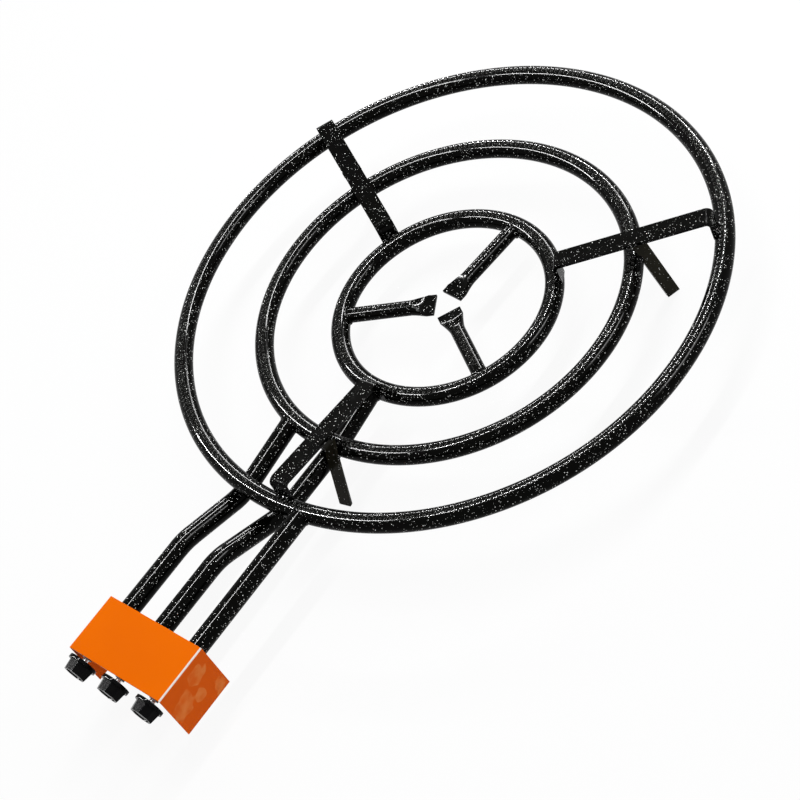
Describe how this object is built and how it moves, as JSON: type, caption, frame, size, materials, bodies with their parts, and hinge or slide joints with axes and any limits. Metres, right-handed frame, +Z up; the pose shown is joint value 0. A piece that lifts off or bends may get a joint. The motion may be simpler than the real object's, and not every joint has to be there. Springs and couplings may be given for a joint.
{
  "type": "gas paella burner",
  "caption": "Gas ring burner for paella pans: stepped concentric tube rings with spokes, sloping pan supports, strip legs and hooded push-and-turn taps.",
  "frame": {"origin": "middle of the burner's outline, on the plane of the feet", "axes": "+Z up, +Y from the tap bank towards the rings, +X to the right when facing the rings from the taps"},
  "size_m": [0.6, 0.834, 0.1022],
  "materials": {
    "enamel": "gloss black vitreous enamel with fine white specks",
    "hood_paint": "gloss orange paint",
    "steel": "zinc plated",
    "brass": "machined",
    "valve_black": "blackened brass",
    "knob_plastic": "satin black"
  },
  "bodies": {
    "burner": {"outer_ring": "enamel", "middle_ring": "enamel", "inner_ring": "enamel", "centre_spoke_1": "enamel", "centre_spoke_2": "enamel", "centre_spoke_3": "enamel", "outer_feed_tube": "enamel", "middle_feed_tube": "enamel", "inner_feed_tube": "enamel", "pan_support_1": "enamel", "pan_support_2": "enamel", "pan_support_3": "enamel", "leg_1": "enamel", "leg_2": "enamel", "leg_3": "enamel", "tube_crossbar": "enamel", "control_hood": "hood_paint", "gas_manifold": "steel", "inlet_washer": "steel", "bonnet_screws": "steel", "manifold_plug": "brass", "inlet_nipple": "brass", "inlet_locknut": "brass", "injector_1": "brass", "injector_2": "brass", "injector_3": "brass", "valve_body_1": "brass", "valve_body_2": "brass", "valve_body_3": "brass", "valve_bonnet_1": "valve_black", "valve_bonnet_2": "valve_black", "valve_bonnet_3": "valve_black"},
    "tap_plug_1": {"valve_plug_1": "brass", "plug_spring_1": "steel"},
    "tap_knob_1": {"valve_stem_1": "steel", "knob_1": "knob_plastic"},
    "tap_plug_2": {"valve_plug_2": "brass", "plug_spring_2": "steel"},
    "tap_knob_2": {"valve_stem_2": "steel", "knob_2": "knob_plastic"},
    "tap_plug_3": {"valve_plug_3": "brass", "plug_spring_3": "steel"},
    "tap_knob_3": {"valve_stem_3": "steel", "knob_3": "knob_plastic"}
  },
  "joints": [
    {"name": "tap_turn_1", "type": "hinge", "parent": "burner", "child": "tap_plug_1", "pos_m": [-0.0543, -0.387, 0.0765], "axis": [0, -1, 0], "range_deg": [0, 180]},
    {"name": "knob_push_1", "type": "slide", "parent": "tap_plug_1", "child": "tap_knob_1", "axis": [0, 1, 0], "range_m": [0, 0.003], "stiffness_N_per_m": 800, "springref_m": -0.003, "deforming": ["plug_spring_1"]},
    {"name": "tap_turn_2", "type": "hinge", "parent": "burner", "child": "tap_plug_2", "pos_m": [-0.0063, -0.387, 0.0765], "axis": [0, -1, 0], "range_deg": [0, 180]},
    {"name": "knob_push_2", "type": "slide", "parent": "tap_plug_2", "child": "tap_knob_2", "axis": [0, 1, 0], "range_m": [0, 0.003], "stiffness_N_per_m": 800, "springref_m": -0.003, "deforming": ["plug_spring_2"]},
    {"name": "tap_turn_3", "type": "hinge", "parent": "burner", "child": "tap_plug_3", "pos_m": [0.0417, -0.387, 0.0765], "axis": [0, -1, 0], "range_deg": [0, 180]},
    {"name": "knob_push_3", "type": "slide", "parent": "tap_plug_3", "child": "tap_knob_3", "axis": [0, 1, 0], "range_m": [0, 0.003], "stiffness_N_per_m": 800, "springref_m": -0.003, "deforming": ["plug_spring_3"]}
  ]
}
